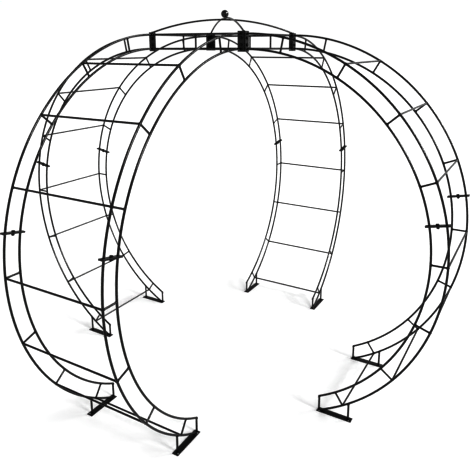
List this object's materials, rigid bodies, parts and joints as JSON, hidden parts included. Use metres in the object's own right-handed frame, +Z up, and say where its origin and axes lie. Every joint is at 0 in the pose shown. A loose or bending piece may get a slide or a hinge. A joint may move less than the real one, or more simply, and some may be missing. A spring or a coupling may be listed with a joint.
{
  "type": "metal trellis arch",
  "caption": "Walk-through garden trellis of welded black steel rod: curved ladder legs, splayed at the waist and turned in at the feet, meet in a square ring under a ball finial.",
  "frame": {"origin": "on the ground, at the centre of the plan, under the ball finial", "axes": "+Z up; +X out along the east leg, +Y out along the north leg"},
  "size_m": [3.548, 3.548, 2.7815],
  "materials": {
    "black_rod": "gloss",
    "black_plate": "satin",
    "black_hardware": "satin",
    "black_ball": "gloss"
  },
  "bodies": {
    "root": {"east_upper_outer_rails": "black_rod", "east_upper_inner_rails": "black_rod", "east_lower_outer_rails": "black_rod", "east_lower_inner_rails": "black_rod", "east_rungs": "black_rod", "east_spacers": "black_rod", "east_splice_bars": "black_plate", "east_end_plates": "black_plate", "east_base_plates": "black_plate", "east_foot_posts": "black_rod", "east_foot_struts": "black_rod", "north_upper_outer_rails": "black_rod", "north_upper_inner_rails": "black_rod", "north_lower_outer_rails": "black_rod", "north_lower_inner_rails": "black_rod", "north_rungs": "black_rod", "north_spacers": "black_rod", "north_splice_bars": "black_plate", "north_end_plates": "black_plate", "north_base_plates": "black_plate", "north_foot_posts": "black_rod", "north_foot_struts": "black_rod", "west_upper_outer_rails": "black_rod", "west_upper_inner_rails": "black_rod", "west_lower_outer_rails": "black_rod", "west_lower_inner_rails": "black_rod", "west_rungs": "black_rod", "west_spacers": "black_rod", "west_splice_bars": "black_plate", "west_end_plates": "black_plate", "west_base_plates": "black_plate", "west_foot_posts": "black_rod", "west_foot_struts": "black_rod", "south_upper_outer_rails": "black_rod", "south_upper_inner_rails": "black_rod", "south_lower_outer_rails": "black_rod", "south_lower_inner_rails": "black_rod", "south_rungs": "black_rod", "south_spacers": "black_rod", "south_splice_bars": "black_plate", "south_end_plates": "black_plate", "south_base_plates": "black_plate", "south_foot_posts": "black_rod", "south_foot_struts": "black_rod", "northeast_bracket": "black_plate", "northwest_bracket": "black_plate", "southwest_bracket": "black_plate", "southeast_bracket": "black_plate", "upper_ring_rods": "black_rod", "lower_ring_rods": "black_rod", "ring_spacers": "black_rod", "upper_crown_rod": "black_rod", "lower_crown_rod": "black_rod", "finial_stud": "black_hardware", "finial_ball": "black_ball", "hex_bolts": "black_hardware", "hex_nuts": "black_hardware", "washers": "black_hardware"}
  },
  "joints": []
}
